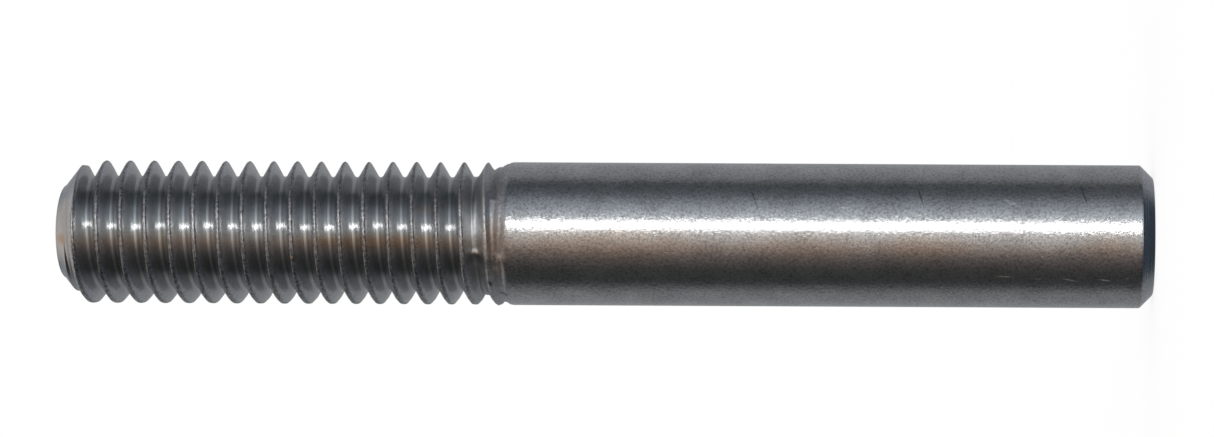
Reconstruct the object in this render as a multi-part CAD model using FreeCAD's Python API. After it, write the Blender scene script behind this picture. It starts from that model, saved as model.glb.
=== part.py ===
import FreeCAD, Part
import math
import os

# Swage threaded stud, one turned piece of stainless bar.
# It stands on its swage end: the axis is +Z, and the origin is the middle of the swage end's face.
# All lengths are in millimetres and all angles in degrees.

# Driving sizes: the bar
total_length = 45.55
bar_diameter = 6.0
swage_chamfer = 0.55         # length and depth of the 45 degree chamfer round the swage end

# Driving sizes: the wire socket drilled into the swage end
socket_diameter = 3.3
socket_depth = 24.0          # full-diameter depth, without the drill's point
socket_mouth_chamfer = 0.2
drill_point_angle = 118.0    # the whole angle of the cone that the drill leaves

# Driving sizes: the thread, right-handed, cut by a die into the bar's own skin
thread_pitch = 1.0
thread_reach = 18.7          # from the thread's end face to the last mark of the die
crest_relief = 0.01          # the crests end this much under the bar's skin
die_lead_angle = 21.5        # slope of the die's tapered first teeth, against the axis
end_chamfer_length = 0.85
end_chamfer_depth = 1.05
crest_angle_at_end = 241.0   # where round the end face the middle of a crest runs out of it

# The thread's form, tied to its pitch as metric threads are
sharp_height = thread_pitch * math.sqrt(3) / 2
groove_depth = sharp_height * 17 / 24
crest_width = thread_pitch / 8
root_width = thread_pitch / 6
flank_length = (thread_pitch - crest_width - root_width) / 2

# Sizes that follow from the driving ones
bar_radius = bar_diameter / 2
crest_radius = bar_radius - crest_relief
root_radius = crest_radius - groove_depth
socket_radius = socket_diameter / 2
die_slope = math.tan(math.radians(die_lead_angle))
last_mark = total_length - thread_reach
spare = thread_pitch         # how far a cutting shape stands clear of what it cuts

axis_origin = FreeCAD.Vector(0, 0, 0)
axis_direction = FreeCAD.Vector(0, 0, 1)


def point(radius, height):
    """A point of an axial section."""
    return FreeCAD.Vector(radius, 0, height)


def turned(section):
    """The solid that a closed section makes in the lathe."""
    outline = Part.makePolygon(section + [section[0]])
    return Part.Face(outline).revolve(axis_origin, axis_direction, 360)


def shank():
    """The plain bar: chamfered at the swage end, and tapered under the thread as the die's lead leaves it."""
    tip_radius = root_radius - crest_relief - groove_depth / 4
    tip_height = last_mark + (bar_radius - tip_radius) / die_slope
    return turned([
        point(0, 0),
        point(bar_radius - swage_chamfer, 0),
        point(bar_radius, swage_chamfer),
        point(bar_radius, last_mark),
        point(tip_radius, tip_height),
        point(0, tip_height),
    ])


def rail(radius, start, turns):
    """One edge of the thread, as a list of single helical turns stacked a pitch apart."""
    steps = []
    for turn in range(turns):
        step = Part.makeHelix(thread_pitch, thread_pitch, radius).Edges[0]
        step.translate(FreeCAD.Vector(0, 0, start + turn * thread_pitch))
        steps.append(step)
    return steps


def screw(start, turns):
    """An endless screw cut off along its own helix, with the true crest, flanks and root as helical faces."""
    root_start = start + flank_length
    root_end = root_start + root_width
    crest_start = root_end + flank_length
    crest_ends = rail(crest_radius, start, turns + 1)
    root_starts = rail(root_radius, root_start, turns)
    root_ends = rail(root_radius, root_end, turns)
    crest_starts = rail(crest_radius, crest_start, turns)
    faces = []
    for turn in range(turns):
        faces.append(Part.makeRuledSurface(crest_ends[turn], root_starts[turn]))
        faces.append(Part.makeRuledSurface(root_starts[turn], root_ends[turn]))
        faces.append(Part.makeRuledSurface(root_ends[turn], crest_starts[turn]))
        faces.append(Part.makeRuledSurface(crest_starts[turn], crest_ends[turn + 1]))
    for low in (0, turns):
        lift = low * thread_pitch
        axis_line = Part.makeLine(point(0, start + lift), point(0, start + lift + thread_pitch))
        faces.append(Part.makeRuledSurface(crest_ends[low], axis_line))
        step = [
            point(0, start + lift),
            point(crest_radius, start + lift),
            point(root_radius, root_start + lift),
            point(root_radius, root_end + lift),
            point(crest_radius, crest_start + lift),
            point(crest_radius, start + lift + thread_pitch),
            point(0, start + lift + thread_pitch),
        ]
        faces.append(Part.Face(Part.makePolygon(step + [step[0]])))
    skin = Part.Compound(faces)
    skin.sewShape(1e-5)
    return Part.Solid(skin.Shells[0])


def thread():
    """The threaded stretch: the screw turned to its place, with a flat and chamfered end."""
    turns_below = math.ceil(thread_reach / thread_pitch) + 2
    start = total_length + crest_width / 2 - turns_below * thread_pitch
    body = screw(start, turns_below + 2)
    body.rotate(axis_origin, axis_direction, crest_angle_at_end)
    wide = bar_radius + 2 * spare
    chamfer_slope = end_chamfer_length / end_chamfer_depth
    chamfer_foot = total_length - (wide - bar_radius + end_chamfer_depth) * chamfer_slope
    blank = turned([
        point(0, start - spare),
        point(wide, start - spare),
        point(wide, chamfer_foot),
        point(bar_radius - end_chamfer_depth, total_length),
        point(0, total_length),
    ])
    return body.common(blank)


def wire_socket():
    """The blind hole for the wire, with its chamfered mouth and the cone of the drill's point."""
    point_length = socket_radius / math.tan(math.radians(drill_point_angle / 2))
    mouth_radius = socket_radius + socket_mouth_chamfer
    return turned([
        point(0, -spare),
        point(mouth_radius, -spare),
        point(mouth_radius, 0),
        point(socket_radius, socket_mouth_chamfer),
        point(socket_radius, socket_depth),
        point(0, socket_depth + point_length),
    ])


def swage_stud():
    """The whole stud, one solid."""
    return shank().fuse(thread()).cut(wire_socket())


os.makedirs("parts", exist_ok=True)
stud = swage_stud()
Part.Solid(stud.Solids[0]).exportStep("parts/swage_stud.step")
print("swage_stud", len(stud.Solids), "solid", round(stud.Volume, 3), "cubic millimetres")
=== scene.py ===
import math
import bpy
import numpy as np
from mathutils import Matrix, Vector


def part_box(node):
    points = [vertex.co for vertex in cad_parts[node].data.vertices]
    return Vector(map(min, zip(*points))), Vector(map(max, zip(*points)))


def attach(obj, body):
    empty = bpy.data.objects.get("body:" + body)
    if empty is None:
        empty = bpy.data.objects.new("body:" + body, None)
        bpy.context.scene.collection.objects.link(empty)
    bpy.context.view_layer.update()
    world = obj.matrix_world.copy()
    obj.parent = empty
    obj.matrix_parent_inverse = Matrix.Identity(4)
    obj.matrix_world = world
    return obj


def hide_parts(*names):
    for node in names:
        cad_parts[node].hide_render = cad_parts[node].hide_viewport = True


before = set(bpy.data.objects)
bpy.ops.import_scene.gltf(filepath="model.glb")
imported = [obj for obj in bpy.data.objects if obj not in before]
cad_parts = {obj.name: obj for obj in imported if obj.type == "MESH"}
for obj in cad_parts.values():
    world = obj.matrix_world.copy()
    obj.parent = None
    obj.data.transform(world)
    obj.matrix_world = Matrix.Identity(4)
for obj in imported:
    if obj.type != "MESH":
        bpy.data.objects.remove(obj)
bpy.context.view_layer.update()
print("frame loaded:", sorted(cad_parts))

mm = 0.001                                    # one millimetre in Blender's metres
low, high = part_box("swage_stud")
studLength = (high.z - low.z) / mm
barRadius = (high.x - low.x) / 2 / mm


# The lower of a and b, with the corner where they meet rounded over the width: a mix of the two by their
# difference over the width, less a bulge that is a quarter of the width where they are equal.
def softMin(a, b, width):
    h = np.clip(0.5 + 0.5 * (b - a) / width, 0, 1)
    return b + (a - b) * h - width * h * (1 - h)


# The higher of a and b, rounded the same way.
def softMax(a, b, width):
    return -softMin(-a, -b, width)


# A seeded wave over the bar's skin, about -1 to 1: a sum of sines over the square root of their number.
# Each sine has a whole number of turns round the bar, so the wave closes on itself.
def wander(angle, height, seed, mostTurns, mostAlong, sines=14):
    draw = np.random.default_rng(seed)
    total = np.zeros(np.broadcast(angle, height).shape)
    for _ in range(sines):
        around = draw.integers(1, mostTurns)
        along = draw.uniform(-mostAlong, mostAlong)
        total += np.sin(around * angle + along * height + draw.uniform(0, 2 * math.pi))
    return total / math.sqrt(sines)


# Points of a rounded corner: a quadratic curve from start to end that is pulled to the corner. At t along it
# the start counts (1 - t) squared, the corner 2 t (1 - t) and the end t squared.
def roundedCorner(start, corner, end, steps):
    t = np.linspace(0, 1, steps)[:, None]
    start, corner, end = (np.array(p, float) for p in (start, corner, end))
    return (1 - t) ** 2 * start + 2 * t * (1 - t) * corner + t ** 2 * end


# Swage end: the plain shank with its chamfered foot and the wire socket up its middle

swageEnd = {
    "chamfer": 0.55,                          # mm, at 45 degrees
    "edgeRounding": 0.06,                     # mm
    "socketRadius": 1.65,                     # mm
    "socketDepth": 24.0,                      # mm at full width
    "mouthChamfer": 0.2,                      # mm
    "drillPoint": 118.0,                      # degrees, the whole cone that the drill leaves
    "ringStep": 0.5,                          # mm between rings on the plain shank
    "lastGap": 0.1,                           # mm, the least gap between them and the thread's first ring
    "cornerRows": 6,                          # rows over a rounded edge
    "wallRows": 30,                           # rows on the socket's wall
    "mouthRow": 0.05,                         # mm from the last of these to the mouth's chamfer
}


# Outline in radius and height, from the drill's point in the socket, out over the foot, up to the thread.
# The drill's point rises above the full width by the socket's radius / tangent of half the drill's angle.
def shankOutline(firstRing):
    r, depth, mouth = swageEnd["socketRadius"], swageEnd["socketDepth"], swageEnd["mouthChamfer"]
    point = depth + r / math.tan(math.radians(swageEnd["drillPoint"] / 2))
    c, e = swageEnd["chamfer"], swageEnd["edgeRounding"]
    slant = e / math.sqrt(2)
    outline = [(0.0, point), (r * 0.5, (point + depth) / 2), (r, depth)]
    outline += [(r, z) for z in np.linspace(depth, mouth + swageEnd["mouthRow"], swageEnd["wallRows"])[1:]]
    outline += [(r, mouth), (r + mouth, 0.0)]
    foot, rows = barRadius - c, swageEnd["cornerRows"]
    outline += list(roundedCorner((foot - e, 0.0), (foot, 0.0), (foot + slant, slant), rows))
    outline += list(roundedCorner((barRadius - slant, c - slant), (barRadius, c), (barRadius, c + e), rows))
    top = firstRing - swageEnd["lastGap"]
    outline += [(barRadius, z) for z in np.arange(c + 2 * e, top, swageEnd["ringStep"])]
    return outline


# Thread: cut by a die into the bar's own skin, with the marks that the die's tapered first teeth leave

thread = {
    "pitch": 1.0,                             # mm from crest to crest, right-handed
    "reach": 18.75,                           # mm from the end face to the die's last mark
    "dieOffset": 0.045,                       # mm that the die's axis lies off the bar's, towards -X
    "crestAngleAtEnd": 241.0,                 # degrees round the end face where a crest runs out of it
    "leadAngle": 21.5,                        # degrees, the slope that the die's first teeth leave
    "chamferLength": 0.91,                    # mm
    "chamferDepth": 1.13,                     # mm
    "endRounding": 0.08,                      # mm, the edge of the end face
    "crestRounding": 0.110,                   # mm, how softly the crests' edges turn
    "cornerRounding": 0.05,                   # mm, the same for the run-out and the chamfer
    "crestWear": 0.014,                       # mm, how far the crests' height wanders
    "leadSteps": 0.35,                        # mm between the marks of the die's first teeth
    "leadStepDepth": 0.022,                   # mm
    "leadStepsGrow": 0.15,                    # mm over which these marks grow to their full depth
    "skinLift": 0.002,                        # mm that makes up for what the rounding takes off the skin
    "flankWander": 0.010,                     # mm, how far the flanks and roots wander
    "crestWave": (3, 30, 6),                  # the wander's seed, most turns round, and most radians in a mm
    "grooveWave": (8, 9, 5),
    "leadWave": (5, 12, 4),
    "columns": 224,                           # steps round the bar
    "crestRows": 4,                           # rows of the thread's form over one pitch
    "flankRows": 3,
    "rootRows": 6,
    "edgeRows": 4,                            # rows over the end's rounded edge
    "faceRings": (0.96, 0.6, 0.0),            # rings on the end face, as shares of its radius
    "ringBelow": 0.4,                         # mm, how far the first ring lies under a whole millimetre
}

# Lumps and nicks that the die has torn: angle in degrees, height in mm, lift in mm, size in mm
burrs = [
    (180.0, 27.49, 0.050, 0.16),
    (251.4, 28.08, 0.090, 0.19),
    (248.3, 27.03, 0.070, 0.27),
    (241.0, 27.30, -0.035, 0.12),
    (272.3, 27.69, -0.030, 0.10),
    (279.8, 28.62, 0.040, 0.12),
    (248.9, 35.60, 0.045, 0.09),
    (300.0, 27.35, 0.030, 0.20),
    (60.0, 27.60, 0.030, 0.22),
    (110.0, 27.40, 0.040, 0.18),
]

# The metric thread's form, tied to its pitch: flanks 60 degrees apart, flat crests and round roots
pitch = thread["pitch"]
sharpHeight = pitch * math.sqrt(3) / 2
grooveDepth = sharpHeight * 17 / 24
rootCurve = sharpHeight / 6                   # radius of the round root
flankAngle = math.radians(30)                 # of one flank, against a level line
halfCrest = 1 / 16                            # from a crest's middle to its edge, as a share of the pitch
lastMark = studLength - thread["reach"]
firstRing = math.floor(lastMark) - thread["ringBelow"]


# Radius of the endless thread: the crest's level, less a groove with straight flanks and a round root.
# In the code, across is the distance from the root's middle. Inside the root's tangent points the radius
# follows a circle of a sixth of the sharp height, and outside them a flank runs up to the crest. The die sat
# a little off the bar's axis, so the groove is deeper by offset x cosine on the +X side and shallower on the
# other.
def threadForm(angle, height):
    wear = thread["crestWear"] * (1 + wander(angle, height, *thread["crestWave"])) / 2
    crestRadius = barRadius - np.clip(wear, 0, None)
    rootRadius = barRadius - grooveDepth - thread["dieOffset"] * np.cos(angle)
    rootRadius = rootRadius + thread["flankWander"] * wander(angle, height, *thread["grooveWave"])
    turn = (height - studLength) / pitch - (angle - math.radians(thread["crestAngleAtEnd"])) / (2 * math.pi)
    across = np.abs((turn % 1) - 0.5) * pitch
    tangent = rootCurve * math.cos(flankAngle)
    inRoot = rootRadius + rootCurve - np.sqrt(np.maximum(rootCurve ** 2 - across ** 2, 0))
    onFlank = rootRadius - rootCurve + across / math.tan(flankAngle)
    grooveToneAndShade = np.where(across < tangent, inRoot, onFlank)
    return softMin(grooveToneAndShade, crestRadius, thread["crestRounding"])


# Radius of the threaded end's skin: the higher of the thread and the die's lead cone, but no higher than
# the bar's skin and the end chamfer. The lead's marks are a sine of the way past the last mark plus the
# angle. Burrs are bell-shaped lumps: lift x e to the power of -2 x distance squared / size squared.
def studRadius(angle, height):
    soft = thread["cornerRounding"]
    past = height - lastMark + thread["flankWander"] * wander(angle, height, *thread["leadWave"])
    steps = np.sin(2 * math.pi * past / thread["leadSteps"] + angle)
    steps = thread["leadStepDepth"] * steps * np.clip(past / thread["leadStepsGrow"], 0, 1)
    lead = barRadius - past * math.tan(math.radians(thread["leadAngle"])) - steps
    radius = softMax(threadForm(angle, height), lead, soft)
    radius = np.minimum(softMin(radius, barRadius + thread["skinLift"], soft / 2), barRadius)
    for burrAngle, burrHeight, lift, size in burrs:
        aside = (angle - math.radians(burrAngle) + math.pi) % (2 * math.pi) - math.pi
        farSquared = (aside * barRadius) ** 2 + (height - burrHeight) ** 2
        radius = radius + lift * np.exp(-2 * farSquared / size ** 2)
    slope = thread["chamferDepth"] / thread["chamferLength"]
    chamfer = barRadius - thread["chamferDepth"] + (studLength - height) * slope
    return softMin(radius, chamfer, soft)


# Steps of the thread's form over one pitch, as shares of it from a crest's edge: flank, root, flank, crest.
def formSteps():
    halfRoot = rootCurve * math.cos(flankAngle) / pitch
    edges = [halfCrest, 0.5 - halfRoot, 0.5 + halfRoot, 1 - halfCrest, 1 + halfCrest]
    counts = [thread["flankRows"], thread["rootRows"], thread["flankRows"], thread["crestRows"]]
    parts = [np.linspace(a, b, n, endpoint=False) for a, b, n in zip(edges, edges[1:], counts)]
    return np.concatenate(parts) - halfCrest


# The columns' angles: the first starts where a crest's edge meets the first ring, and the others are evenly
# spaced round the bar.
def columnAngles():
    turns = (firstRing - studLength) / pitch - halfCrest
    start = math.radians(thread["crestAngleAtEnd"]) + 2 * math.pi * turns
    return start + 2 * math.pi * np.arange(thread["columns"]) / thread["columns"]


# Heights of the rows that follow the helix: first ring + pitch x (turns so far + share of a turn round - 1),
# held between the first ring and the end's rounding, so that the helix starts and ends as a level ring.
def helixHeights():
    columns = thread["columns"]
    steps = formSteps()
    top = studLength - thread["endRounding"]
    turns = math.ceil((top - firstRing) / pitch) + 1
    share = np.append((np.arange(turns)[:, None] + steps[None, :]).ravel(), turns)
    level = firstRing + pitch * (share[:, None] + np.arange(columns)[None, :] / columns - 1)
    return np.clip(level, firstRing, top), len(steps)


samePlace = 1e-5                              # mm: points nearer than this are one point


# The whole skin as one closed mesh: level rings below, helical rows on the thread, then the end's rounded
# edge and the end face. On that edge the radius shrinks by rounding x (1 - cosine) while the height climbs
# by rounding x sine.
def studSkin():
    columns = thread["columns"]
    angles = columnAngles()
    level = np.ones(columns)
    below = [np.stack([angles, r * level, z * level], axis=1) for r, z in shankOutline(firstRing)]
    heights, perTurn = helixHeights()
    helixAngles = np.broadcast_to(angles, heights.shape)
    helical = np.stack([helixAngles, studRadius(helixAngles, heights), heights], axis=2)
    edge = thread["endRounding"]
    last = helical[-1, :, 1]
    above = []
    for t in np.radians(np.linspace(0, 90, thread["edgeRows"] + 1)[1:]):
        edgeHeight = studLength - edge + edge * math.sin(t)
        above.append(np.stack([angles, last - edge * (1 - math.cos(t)), level * edgeHeight], axis=1))
    for share in thread["faceRings"]:
        above.append(np.stack([angles, (last - edge) * share, level * studLength], axis=1))
    rows = np.concatenate([np.array(below), helical, np.array(above)])
    # beside the last column is the first one, a turn of the thread further on
    number = np.arange(len(rows))
    firstRow, lastRow = len(below), len(below) + len(helical) - 1
    onHelix = (number >= firstRow) & (number <= lastRow)
    wrapRow = np.where(onHelix, np.minimum(number + perTurn, lastRow), number)
    here = number[:, None] * columns + np.arange(columns)[None, :]
    beside = np.roll(here, -1, axis=1)
    beside[:, -1] = wrapRow * columns
    quads = np.stack([here[:-1], beside[:-1], beside[1:], here[1:]], axis=2).reshape(-1, 4)
    angle, radius, height = rows.reshape(-1, 3).T
    places = np.stack([radius * np.cos(angle), radius * np.sin(angle), height], axis=1)
    # points that share a place become one point, and the triangles that this leaves flat go
    grid = np.round(places / samePlace).astype(np.int64)
    _, keep, merged = np.unique(grid, axis=0, return_index=True, return_inverse=True)
    quads = merged.reshape(-1)[quads]
    triangles = np.concatenate([quads[:, [0, 1, 2]], quads[:, [0, 2, 3]]])
    a, b, c = triangles.T
    return places[keep], triangles[(a != b) & (b != c) & (a != c)]


# A smooth Blender object from places in millimetres and triangles.
def newPiece(name, places, triangles):
    data = bpy.data.meshes.new(name)
    data.vertices.add(len(places))
    data.vertices.foreach_set("co", (places * mm).astype(np.float32).ravel())
    data.loops.add(triangles.size)
    data.loops.foreach_set("vertex_index", triangles.astype(np.int32).ravel())
    data.polygons.add(len(triangles))
    data.polygons.foreach_set("loop_start", np.arange(0, triangles.size, 3, dtype=np.int32))
    data.update(calc_edges=True)
    data.validate()
    data.polygons.foreach_set("use_smooth", np.ones(len(data.polygons), dtype=bool))
    piece = bpy.data.objects.new(name, data)
    bpy.context.scene.collection.objects.link(piece)
    return piece


skinPlaces, skinTriangles = studSkin()
stud = newPiece("stud_skin", skinPlaces, skinTriangles)
print("stud skin:", len(skinPlaces), "points,", len(skinTriangles), "triangles")


# Linear colour of an sRGB hex code: a straight line for the darkest values, a power of 2.4 above it.
def linear(code):
    parts = [int(code[i:i + 2], 16) / 255 for i in (1, 3, 5)]
    return tuple(p / 12.92 if p <= 0.04045 else ((p + 0.055) / 1.055) ** 2.4 for p in parts) + (1.0,)


# A node of that kind, with its settings, and its inputs set or linked.
def addNode(tree, kind, inputs=None, **settings):
    node = tree.nodes.new(kind)
    for key, value in settings.items():
        setattr(node, key, value)
    for key, value in (inputs or {}).items():
        if isinstance(value, bpy.types.NodeSocket):
            tree.links.new(value, node.inputs[key])
        else:
            node.inputs[key].default_value = value
    return node


# Puts stops of (place, colour) on a colour ramp.
def setRamp(node, stops):
    ramp = node.color_ramp
    while len(ramp.elements) > 1:
        ramp.elements.remove(ramp.elements[-1])
    ramp.elements[0].position, ramp.elements[0].color = stops[0]
    for position, colour in stops[1:]:
        ramp.elements.new(position).color = colour


# Stainless steel, the bright drawn bar of marine fittings. Drawing leaves the shank clear and hard to the
# eye, with fine pits and a few scuffs from handling. The thread darkens with the grooves' depth: the cut
# metal's duller tone plus painted shade. Its crests are torn, and its roots' colour is raised as a painted
# highlight.
steel = {
    "bright": "#CBCACA",
    "pits": "#77767A",
    "grooveToneAndShade": "#B8B9B9",
    "stainAndReflection": "#FFD6AC",
    "roughness": 0.11,
    "cutRoughness": 0.17,                     # where the die has cut
    "cutFrom": -0.05,                         # mm past the last mark, where that starts
    "cutTo": 0.15,                            # mm, and where it is full
    "skinBand": 0.03,                         # mm under the bar's skin, where the thread's own tone starts
    "rootRoughness": -0.05,                   # how much smoother the thread's roots are
    "rootHighlightTone": 1.12,                         # tone of the roots, raised above the flanks' as a painted highlight on their glints
    "rootFrom": 0.80,                         # share of the groove's depth where the roots start
    "rootTo": 0.97,                           # and where they are full
    "crestRoughness": 0.10,                   # how much rougher the torn crests are
    "crestBand": 0.12,                        # share of the groove's depth where the crests end
    "leadRoughness": 0.20,                    # how much rougher the thread's run-out is
    "leadFull": 1.3,                          # mm past the last mark, up to where the run-out is full
    "leadTo": 2.0,                            # mm, and where it ends
    "grainRoughness": 0.10,                   # the grain's part in it
    "markRoughness": 0.70,                    # the pale marks' part in it
    "stainAndReflectionRoughness": 0.10,                    # the brown tint's part in it
    "mottle": 1.40,                           # how far the spots of the skin differ in tone
    "smudges": 0.50,                          # how far its broad smudges do
    "smudgeSize": 1.1,                        # mm
    "crestDarkest": 0.42,                     # tone of the crests' torn spots, as a share of the steel's
    "crestBrightest": 0.95,                   # and of the spots between them
    "tornFrom": 0.42,                         # the noise's value below which a crest's spot is torn
    "tornTo": 0.62,                           # and above which it is whole
    "grain": 0.15,                            # mm, size of the drawn skin's grain
    "grainDepth": 0.0105,                     # mm
    "grainInRoots": 0.10,                     # share of it that is left in the thread's roots
    "pitSize": 0.11,                          # mm between the pits
    "pitsFrom": 0.63,                         # the noise's value at which a pit starts
    "pitsTo": 0.74,                           # and at which it is full
    "pitDepth": 0.0015,                       # mm
    "markDepth": 0.0040,                      # mm that the pale marks stand out
    "tornGrain": 0.22,                        # mm, size of the torn grain in the thread
    "tornDepth": 0.0018,                      # mm
    "crestDepth": 0.0200,                     # mm, how deep the crests are torn
    "leadDepth": 0.0150,                      # mm, and how deep the run-out
    "turningStep": 0.09,                      # mm between the turning lines of the foot's chamfer
    "turningDepth": 0.012,                    # mm
    "turningBand": 0.03,                      # mm over which they start, at the chamfer's upper edge
    "fineDetail": 4.0,                        # how many times the grain's noise is halved in size
    "fineRoughness": 0.65,                    # how much of its strength each halving keeps
    "markFull": 0.4,                          # share of a mark's half size up to which it is full
    "markTo": 1.2,                            # and at which it has faded
}

# Brown tint: stains that handling has left, and at 260 to 262 degrees, just under the highlight, a painted
# warm reflection. Angle in degrees, height in mm, length and width in mm, strength
stainsAndReflections = [
    (261.0, 22.5, 9.5, 1.4, 0.70),
    (260.0, 14.5, 6.5, 1.3, 0.50),
    (261.0, 9.6, 4.6, 1.1, 0.70),
    (262.0, 1.9, 2.6, 1.1, 0.60),
    (261.5, 41.0, 9.0, 0.9, 0.50),
    (261.5, 32.0, 9.5, 0.9, 0.85),
    (262.0, 45.25, 0.5, 0.7, 1.50),
    (88.0, 16.0, 8.0, 1.5, 0.80),
    (251.4, 28.08, 0.35, 0.35, 0.90),
    (248.3, 27.03, 0.55, 0.45, 0.90),
    (260.0, 27.20, 1.20, 2.60, 1.30),
    (249.5, 35.55, 0.35, 0.35, 1.50),
    (295.0, 30.30, 0.55, 0.55, 0.70),
]

# Marks of handling, and of the die on the run-out: angle in degrees, height in mm, length in mm, tilt from
# the bar's axis in degrees, width in mm, and how far the mark is dark (below 0) or rough and pale (above 0)
marks = [
    (303.1, 9.72, 1.05, 74.0, 0.061, -1.00),
    (303.9, 2.95, 1.05, 75.0, 0.061, -0.95),
    (298.3, 6.00, 0.60, 22.0, 0.170, 1.20),
    (301.2, 4.82, 0.30, 10.0, 0.080, 0.47),
    (236.3, 6.25, 0.75, 3.0, 0.061, 1.14),
    (234.2, 4.86, 0.45, 8.0, 0.061, 0.85),
    (233.3, 3.54, 0.70, 12.0, 0.068, 1.04),
    (233.3, 2.10, 0.60, 8.0, 0.075, 1.42),
    (235.1, 1.15, 0.20, 0.0, 0.081, 0.95),
    (214.0, 8.25, 0.75, 68.0, 0.054, 0.66),
    (284.9, 10.26, 0.10, 0.0, 0.090, 0.90),
    (262.1, 2.45, 0.12, 40.0, 0.070, 0.90),
    (253.6, 4.67, 0.09, 0.0, 0.070, 0.90),
    (201.0, 7.66, 0.10, 0.0, 0.070, 0.90),
    (271.2, 8.29, 0.08, 0.0, 0.080, 0.90),
    (249.6, 27.28, 0.45, 85.0, 0.200, -0.80),
    (226.3, 27.50, 0.35, 60.0, 0.200, -0.90),
    (211.1, 27.01, 0.40, 10.0, 0.250, -0.80),
    (315.0, 27.30, 2.60, 90.0, 0.600, -0.50),
    (267.0, 27.10, 3.60, 90.0, 0.900, -0.50),
    (246.0, 27.75, 1.50, 0.0, 0.600, -0.60),
    (300.5, 16.58, 1.30, 72.0, 0.055, -0.80),
    (292.9, 12.83, 0.45, 5.0, 0.100, 1.10),
    (120.0, 12.00, 1.20, 60.0, 0.068, 0.95),
    (70.0, 18.00, 0.90, 15.0, 0.081, 0.95),
    (20.0, 8.00, 1.00, 70.0, 0.061, -0.95),
]


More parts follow.
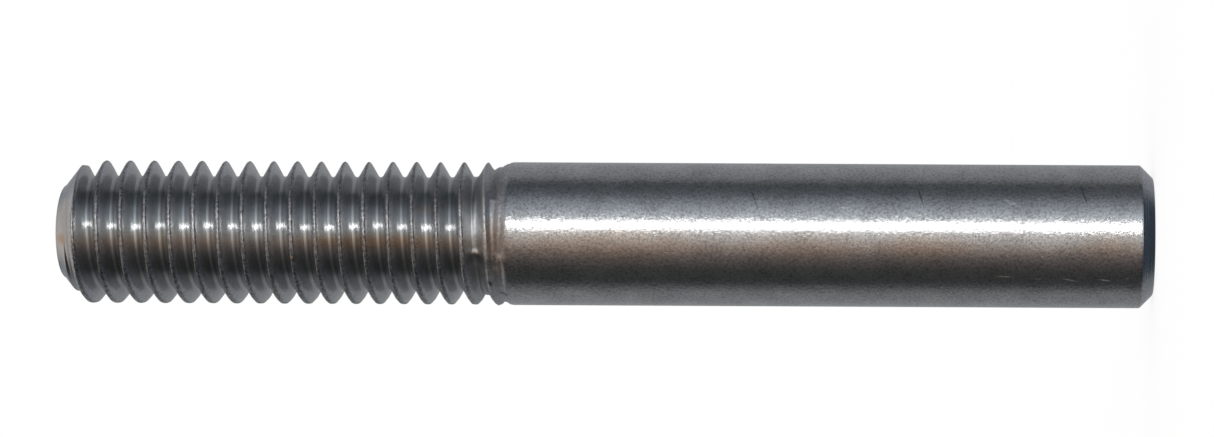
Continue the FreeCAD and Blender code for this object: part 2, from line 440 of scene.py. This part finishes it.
# The steel's material. Masks from the radius and the height say where each kind of surface lies.
def stainlessSteel():
    material = bpy.data.materials.new("drawn_stainless_steel")
    material.use_nodes = True
    tree = material.node_tree
    tree.nodes.clear()
    coordinates = addNode(tree, "ShaderNodeTexCoord")
    inMm = addNode(tree, "ShaderNodeVectorMath", {0: coordinates.outputs["Object"], "Scale": 1 / mm},
                   operation="SCALE").outputs["Vector"]
    xyz = addNode(tree, "ShaderNodeSeparateXYZ", {0: inMm})
    flat = addNode(tree, "ShaderNodeVectorMath", {0: inMm, 1: (1.0, 1.0, 0.0)}, operation="MULTIPLY")
    radius = addNode(tree, "ShaderNodeVectorMath", {0: flat.outputs["Vector"]},
                     operation="LENGTH").outputs["Value"]
    away = addNode(tree, "ShaderNodeMath", {0: xyz.outputs["Y"], 1: -1.0}, operation="MULTIPLY")
    turned = addNode(tree, "ShaderNodeMath", {0: xyz.outputs["X"], 1: away.outputs[0]}, operation="ARCTAN2")
    # place on the unrolled skin: x is the way round in mm, from the side at 270 degrees, and y the height
    wayRound = addNode(tree, "ShaderNodeMath", {0: turned.outputs[0], 1: barRadius}, operation="MULTIPLY")
    unrolled = addNode(tree, "ShaderNodeCombineXYZ", {"X": wayRound.outputs[0],
                                                      "Y": xyz.outputs["Z"]}).outputs["Vector"]

    # 0 on the bar's skin, 1 at the roots of the thread and in the socket
    sunk = addNode(tree, "ShaderNodeMapRange", {"Value": radius, "From Min": barRadius - steel["skinBand"],
                                                "From Max": barRadius - grooveDepth}).outputs["Result"]
    # 0 on the plain shank, 1 where the die has cut
    cut = addNode(tree, "ShaderNodeMapRange", {"Value": xyz.outputs["Z"],
                                               "From Min": lastMark + steel["cutFrom"],
                                               "From Max": lastMark + steel["cutTo"]}).outputs["Result"]
    # 1 on the foot's chamfer
    footTop = swageEnd["chamfer"]
    footFull = footTop - steel["turningBand"]
    foot = addNode(tree, "ShaderNodeMapRange", {"Value": xyz.outputs["Z"], "From Min": footTop,
                                                "From Max": footFull}).outputs["Result"]
    # 1 on the run-out, where the die's first teeth have scraped
    near = addNode(tree, "ShaderNodeMapRange", {"Value": xyz.outputs["Z"],
                                                "From Min": lastMark + steel["leadTo"],
                                                "From Max": lastMark + steel["leadFull"]}).outputs["Result"]
    lead = addNode(tree, "ShaderNodeMath", {0: near, 1: cut}, operation="MULTIPLY").outputs[0]

    fine = {"Detail": steel["fineDetail"], "Roughness": steel["fineRoughness"]}
    grain = addNode(tree, "ShaderNodeTexNoise", {"Vector": inMm, "Scale": 1 / steel["grain"],
                                                 **fine}).outputs["Fac"]
    torn = addNode(tree, "ShaderNodeTexNoise", {"Vector": inMm, "Scale": 1 / steel["tornGrain"],
                                                **fine}).outputs["Fac"]
    pitting = addNode(tree, "ShaderNodeTexNoise", {"Vector": inMm,
                                                   "Scale": 1 / steel["pitSize"]}).outputs["Fac"]
    smudging = addNode(tree, "ShaderNodeTexNoise", {"Vector": inMm,
                                                    "Scale": 1 / steel["smudgeSize"]}).outputs["Fac"]
    # how much of the drawn skin's grain is left
    calm = addNode(tree, "ShaderNodeMapRange", {"Value": sunk, "To Min": 1.0,
                                                "To Max": steel["grainInRoots"]}).outputs["Result"]
    pits = addNode(tree, "ShaderNodeMapRange", {"Value": pitting, "From Min": steel["pitsFrom"],
                                                "From Max": steel["pitsTo"],
                                                "To Max": calm}).outputs["Result"]
    # 1 on the thread's crests
    crest = addNode(tree, "ShaderNodeMapRange", {"Value": sunk, "From Min": steel["crestBand"],
                                                 "From Max": 0.0}).outputs["Result"]
    # 1 at the bottom of the thread's roots
    root = addNode(tree, "ShaderNodeMapRange", {"Value": sunk, "From Min": steel["rootFrom"],
                                                "From Max": steel["rootTo"]}).outputs["Result"]
    # turning lines go round the axis, so they follow radius plus height
    lift = addNode(tree, "ShaderNodeMath", {0: radius, 1: xyz.outputs["Z"]}, operation="ADD").outputs[0]
    lines = addNode(tree, "ShaderNodeTexNoise", {"W": lift, "Scale": 1 / steel["turningStep"]},
                    noise_dimensions="1D").outputs["Fac"]

    # every mark is a soft ellipse on the unrolled skin, and each kind keeps the strongest of its own
    strongest = {}
    soft = [("stainAndReflection", angle, height, length, 0.0, width, amount)
            for angle, height, length, width, amount in stainsAndReflections]
    hard = [("dark" if tone < 0 else "pale", angle, height, length, tilt, width, abs(tone))
            for angle, height, length, tilt, width, tone in marks]
    for kind, angle, height, length, tilt, width, amount in soft + hard:
        aside = math.radians((angle - 270 + 180) % 360 - 180) * barRadius
        ownPlace = addNode(tree, "ShaderNodeMapping", {
            "Vector": unrolled, "Location": (aside, height, 0), "Rotation": (0, 0, math.radians(90 - tilt)),
            "Scale": (length / 2, width / 2, 1)}, vector_type="TEXTURE").outputs["Vector"]
        far = addNode(tree, "ShaderNodeVectorMath", {0: ownPlace}, operation="LENGTH").outputs["Value"]
        mark = addNode(tree, "ShaderNodeMapRange", {"Value": far, "From Min": steel["markTo"],
                                                    "From Max": steel["markFull"],
                                                    "To Max": amount}).outputs["Result"]
        strongest[kind] = addNode(tree, "ShaderNodeMath", {0: strongest.get(kind, 0.0), 1: mark},
                                  operation="MAXIMUM").outputs[0]
    dark = strongest["dark"]
    pale = addNode(tree, "ShaderNodeMath", {0: strongest["pale"], 1: grain},
                   operation="MULTIPLY").outputs[0]
    stainAndReflection = addNode(tree, "ShaderNodeMath", {0: strongest["stainAndReflection"], 1: torn},
                   operation="MULTIPLY").outputs[0]

    # darker with the groove's depth: the cut metal's duller tone and painted shade in the thread's hollows
    # and the socket
    colour = addNode(tree, "ShaderNodeMix", {"Factor": sunk, 6: linear(steel["bright"]),
                                             7: linear(steel["grooveToneAndShade"])}, data_type="RGBA").outputs[2]
    # the brown tint: real stains, and a painted warm reflection in the patches just under the highlight
    colour = addNode(tree, "ShaderNodeMix", {"Factor": stainAndReflection, 6: colour, 7: linear(steel["stainAndReflection"])},
                     data_type="RGBA", blend_type="MULTIPLY").outputs[2]
    dirt = addNode(tree, "ShaderNodeMath", {0: pits, 1: dark}, operation="MAXIMUM").outputs[0]
    colour = addNode(tree, "ShaderNodeMix", {"Factor": dirt, 6: colour, 7: linear(steel["pits"])},
                     data_type="RGBA").outputs[2]
    # a noise is about 0.5 on average, so less 0.5 it leaves the tone the same on average
    uneven = addNode(tree, "ShaderNodeMath", {0: pitting, 1: 0.5}, operation="SUBTRACT").outputs[0]
    mottle = addNode(tree, "ShaderNodeMath", {0: calm, 1: steel["mottle"]}, operation="MULTIPLY").outputs[0]
    spots = addNode(tree, "ShaderNodeMath", {0: uneven, 1: mottle, 2: 1.0},
                    operation="MULTIPLY_ADD").outputs[0]
    # on the run-out the crest is still the bar's own skin
    fullThread = addNode(tree, "ShaderNodeMath", {0: cut, 1: lead}, operation="SUBTRACT").outputs[0]
    tornCrest = addNode(tree, "ShaderNodeMath", {0: crest, 1: fullThread}, operation="MULTIPLY").outputs[0]
    dots = addNode(tree, "ShaderNodeMapRange", {"Value": pitting, "From Min": steel["tornFrom"],
                                                "From Max": steel["tornTo"],
                                                "To Min": steel["crestDarkest"],
                                                "To Max": steel["crestBrightest"]}).outputs["Result"]
    spots = addNode(tree, "ShaderNodeMix", {"Factor": tornCrest, 2: spots, 3: dots},
                    data_type="FLOAT").outputs[0]
    smudges = addNode(tree, "ShaderNodeMath", {0: smudging, 1: 0.5}, operation="SUBTRACT").outputs[0]
    spots = addNode(tree, "ShaderNodeMath", {0: smudges, 1: steel["smudges"], 2: spots},
                    operation="MULTIPLY_ADD").outputs[0]
    # the roots' colour is raised so that their glints read brighter: a painted highlight
    paintedRootHighlight = addNode(tree, "ShaderNodeMapRange", {"Value": root, "To Min": 1.0,
                                                  "To Max": steel["rootHighlightTone"]}).outputs["Result"]
    spots = addNode(tree, "ShaderNodeMath", {0: spots, 1: paintedRootHighlight}, operation="MULTIPLY").outputs[0]
    colour = addNode(tree, "ShaderNodeVectorMath", {0: colour, "Scale": spots},
                     operation="SCALE").outputs["Vector"]

    rough = addNode(tree, "ShaderNodeMapRange", {"Value": cut, "To Min": steel["roughness"],
                                                 "To Max": steel["cutRoughness"]}).outputs["Result"]
    for part, amount in ((grain, "grainRoughness"), (pale, "markRoughness"), (stainAndReflection, "stainAndReflectionRoughness"),
                         (root, "rootRoughness"), (tornCrest, "crestRoughness"), (lead, "leadRoughness")):
        rough = addNode(tree, "ShaderNodeMath", {0: part, 1: steel[amount], 2: rough},
                        operation="MULTIPLY_ADD").outputs[0]

    # heights in mm, summed for one bump
    relief = addNode(tree, "ShaderNodeMath", {0: grain, 1: calm}, operation="MULTIPLY").outputs[0]
    relief = addNode(tree, "ShaderNodeMath", {0: relief, 1: steel["grainDepth"]},
                     operation="MULTIPLY").outputs[0]
    relief = addNode(tree, "ShaderNodeMath", {0: pits, 1: -steel["pitDepth"], 2: relief},
                     operation="MULTIPLY_ADD").outputs[0]
    for mask, noise, depth in ((cut, torn, "tornDepth"), (tornCrest, torn, "crestDepth"),
                               (lead, torn, "leadDepth"), (pale, 1.0, "markDepth"),
                               (foot, lines, "turningDepth")):
        part = addNode(tree, "ShaderNodeMath", {0: mask, 1: noise}, operation="MULTIPLY").outputs[0]
        relief = addNode(tree, "ShaderNodeMath", {0: part, 1: steel[depth], 2: relief},
                         operation="MULTIPLY_ADD").outputs[0]
    bump = addNode(tree, "ShaderNodeBump", {"Height": relief, "Distance": mm,
                                            "Strength": 1.0}).outputs["Normal"]

    shader = addNode(tree, "ShaderNodeBsdfPrincipled", {"Base Color": colour, "Metallic": 1.0,
                                                        "Roughness": rough, "Normal": bump})
    addNode(tree, "ShaderNodeOutputMaterial", {"Surface": shader.outputs["BSDF"]})
    return material


stud.data.materials.append(stainlessSteel())
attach(stud, "root")
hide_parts("swage_stud")
print("steel laid on")


# Studio: a white backdrop and card, one tall lamp, and a room that is pale behind the camera

studio = {
    "roomStrength": 2.0,                      # the panorama's colours are half of what the steel sees
    "aboveColour": "#95908D",                 # straight above
    "belowColour": "#2A323B",                 # straight below
    "endsFrom": 0.66,                         # sine of the slope at which these start
    "endsTo": 0.88,
    "coolTint": "#F3F7FC",                    # the room turns this much cooler away from the level
    "coolFrom": 0.20,                         # sine of the slope at which that starts
    "coolTo": 0.60,
    "lampAngle": 15.0,                        # degrees of the lamp from the -Y side towards +X
    "lampDistance": 400.0,                    # mm
    "lampWidth": 30.0,                        # mm
    "lampHeight": 420.0,                      # mm
    "lampPower": 0.31,                        # watts
    "floorRadius": 400.0,                     # mm
    "floorCorners": 64,
    "floorGlow": 0.85,                        # share of the floor's white that shadows leave alone
}

# The room's tone by the angle from the -Y side towards +X, in degrees
panorama = [
    (-180, "#747678"),                        # the wall behind the stud
    (-107, "#5D5F61"),
    (-86, "#303132"),                         # a dark opening on the -X side
    (-79, "#282A2A"),
    (-56, "#2E2E2D"),
    (-35, "#4B4644"),                         # warm wood beside it
    (-21, "#736963"),
    (-2, "#9F9D9A"),                          # the pale wall behind the camera
    (31, "#989EA2"),
    (38, "#83888F"),                          # a cooler wall that falls away
    (67, "#45494E"),
    (90, "#333739"),                          # a dark corner on the +X side
    (102, "#5D5E60"),
    (126, "#6C6D71"),
    (180, "#747678"),
]

scene = bpy.context.scene
scene.view_settings.view_transform = "Standard"


# The world. The steel sees the room's tones, which turn cooler away from the level and change to the tones
# above and below at steep slopes. The camera and the floor see plain white.
def buildRoom():
    world = bpy.data.worlds.new("studio")
    scene.world = world
    world.use_nodes = True
    tree = world.node_tree
    tree.nodes.clear()
    direction = addNode(tree, "ShaderNodeTexCoord")
    xyz = addNode(tree, "ShaderNodeSeparateXYZ", {0: direction.outputs["Generated"]})
    towards = addNode(tree, "ShaderNodeMath", {0: xyz.outputs["Y"], 1: -1.0}, operation="MULTIPLY")
    around = addNode(tree, "ShaderNodeMath", {0: xyz.outputs["X"], 1: towards.outputs[0]},
                     operation="ARCTAN2")
    share = addNode(tree, "ShaderNodeMapRange", {"Value": around.outputs[0], "From Min": -math.pi,
                                                 "From Max": math.pi})
    glow = addNode(tree, "ShaderNodeValToRGB", {"Fac": share.outputs["Result"]})
    setRamp(glow, [((angle + 180) / 360, linear(code)) for angle, code in panorama])
    steep = addNode(tree, "ShaderNodeMath", {0: xyz.outputs["Z"]}, operation="ABSOLUTE")
    ends = addNode(tree, "ShaderNodeMapRange", {"Value": steep.outputs[0], "From Min": studio["endsFrom"],
                                                "From Max": studio["endsTo"]},
                   interpolation_type="SMOOTHSTEP")
    sloping = addNode(tree, "ShaderNodeMapRange", {"Value": steep.outputs[0],
                                                   "From Min": studio["coolFrom"],
                                                   "From Max": studio["coolTo"]})
    cool = addNode(tree, "ShaderNodeMix", {"Factor": sloping.outputs["Result"], 6: glow.outputs["Color"],
                                           7: linear(studio["coolTint"])},
                   data_type="RGBA", blend_type="MULTIPLY")
    upward = addNode(tree, "ShaderNodeMath", {0: xyz.outputs["Z"], 1: 0.0}, operation="GREATER_THAN")
    end = addNode(tree, "ShaderNodeMix", {"Factor": upward.outputs[0], 6: linear(studio["belowColour"]),
                                          7: linear(studio["aboveColour"])}, data_type="RGBA")
    tone = addNode(tree, "ShaderNodeMix", {"Factor": ends.outputs["Result"], 6: cool.outputs[2],
                                           7: end.outputs[2]}, data_type="RGBA")
    rays = addNode(tree, "ShaderNodeLightPath")
    room = addNode(tree, "ShaderNodeBackground", {"Color": tone.outputs[2],
                                                  "Strength": studio["roomStrength"]})
    white = addNode(tree, "ShaderNodeBackground", {"Color": (1, 1, 1, 1), "Strength": 1.0})
    pale = addNode(tree, "ShaderNodeMath", {0: rays.outputs["Is Diffuse Ray"],
                                            1: rays.outputs["Is Camera Ray"]}, operation="MAXIMUM")
    seen = addNode(tree, "ShaderNodeMixShader", {"Fac": pale.outputs[0], 1: room.outputs[0],
                                                 2: white.outputs[0]})
    addNode(tree, "ShaderNodeOutputWorld", {"Surface": seen.outputs[0]})


# One tall lamp, an upright rectangle that faces the stud, level with the stud's middle. It stands at its
# distance x (sine, -cosine) of its angle.
def hangLamp():
    data = bpy.data.lights.new("key_strip", "AREA")
    data.shape = "RECTANGLE"
    data.size = studio["lampWidth"] * mm
    data.size_y = studio["lampHeight"] * mm
    data.energy = studio["lampPower"]
    lamp = bpy.data.objects.new("key_strip", data)
    scene.collection.objects.link(lamp)
    turn, reach = math.radians(studio["lampAngle"]), studio["lampDistance"] * mm
    lamp.location = (reach * math.sin(turn), -reach * math.cos(turn), studLength / 2 * mm)
    lamp.rotation_euler = (math.pi / 2, 0, turn)


# The floor is a round matt white card: a ring of corners at its radius x (cosine, sine) of even turns. The
# steel sees past it to the room.
def layFloor():
    corners = studio["floorCorners"]
    turns = 2 * math.pi * np.arange(corners) / corners
    reach = studio["floorRadius"] * mm
    ring = np.stack([reach * np.cos(turns), reach * np.sin(turns), 0 * turns], axis=1)
    data = bpy.data.meshes.new("floor")
    data.from_pydata(ring.tolist(), [], [list(range(corners))])
    floor = bpy.data.objects.new("floor", data)
    scene.collection.objects.link(floor)
    material = bpy.data.materials.new("matt_white_card")
    material.use_nodes = True
    tree = material.node_tree
    tree.nodes.clear()
    card = addNode(tree, "ShaderNodeBsdfDiffuse", {"Color": (1, 1, 1, 1)})
    plain = addNode(tree, "ShaderNodeEmission", {"Color": (1, 1, 1, 1), "Strength": 1.0})
    rays = addNode(tree, "ShaderNodeLightPath")
    amount = addNode(tree, "ShaderNodeMath", {0: rays.outputs["Is Camera Ray"], 1: studio["floorGlow"]},
                     operation="MULTIPLY")
    mixed = addNode(tree, "ShaderNodeMixShader", {"Fac": amount.outputs[0], 1: card.outputs[0],
                                                  2: plain.outputs[0]})
    addNode(tree, "ShaderNodeOutputMaterial", {"Surface": mixed.outputs[0]})
    data.materials.append(material)
    floor.visible_glossy = False
    floor.visible_shadow = False


buildRoom()
hangLamp()
layFloor()
print("studio built")


# Camera: it looks along +Y, with the picture's left at +Z, where the thread is, and its top at +X

view = {
    "distance": 150.0,                        # mm from the stud's axis
    "height": 8.28,                           # mm above the swage end
    "aside": 0.72,                            # mm towards +X
    "yaw": -0.075,                            # degrees turned towards the thread
    "pitch": 0.004,                           # degrees
    "roll": 0.299,                            # degrees
    "lens": 105.98,                           # mm
    "sensor": 36.0,                           # mm, the width of its sensor
    "shift": -0.2907,                         # of the frame, as the stud's foot lies near the camera's line
    "clipStart": 5.0,                         # mm
    "clipEnd": 5000.0,                        # mm
}

data = bpy.data.cameras.new("camera")
data.lens = view["lens"]
data.sensor_width = view["sensor"]
data.shift_x = view["shift"]
data.clip_start = view["clipStart"] * mm
data.clip_end = view["clipEnd"] * mm
camera = bpy.data.objects.new("camera", data)
scene.collection.objects.link(camera)
scene.camera = camera
yaw, tip, roll = (math.radians(view[key]) for key in ("yaw", "pitch", "roll"))
forward = np.array([math.sin(tip), math.cos(tip) * math.cos(yaw), math.cos(tip) * math.sin(yaw)])
right = np.cross(forward, [1, 0, 0])
right /= np.linalg.norm(right)
up = np.cross(right, forward)
right, up = math.cos(roll) * right + math.sin(roll) * up, math.cos(roll) * up - math.sin(roll) * right
spot = np.array([view["aside"], -view["distance"], view["height"]]) * mm
upper = np.column_stack([right, up, -forward, spot])
camera.matrix_world = Matrix(np.vstack([upper, [0, 0, 0, 1]]).tolist())
print("camera placed")
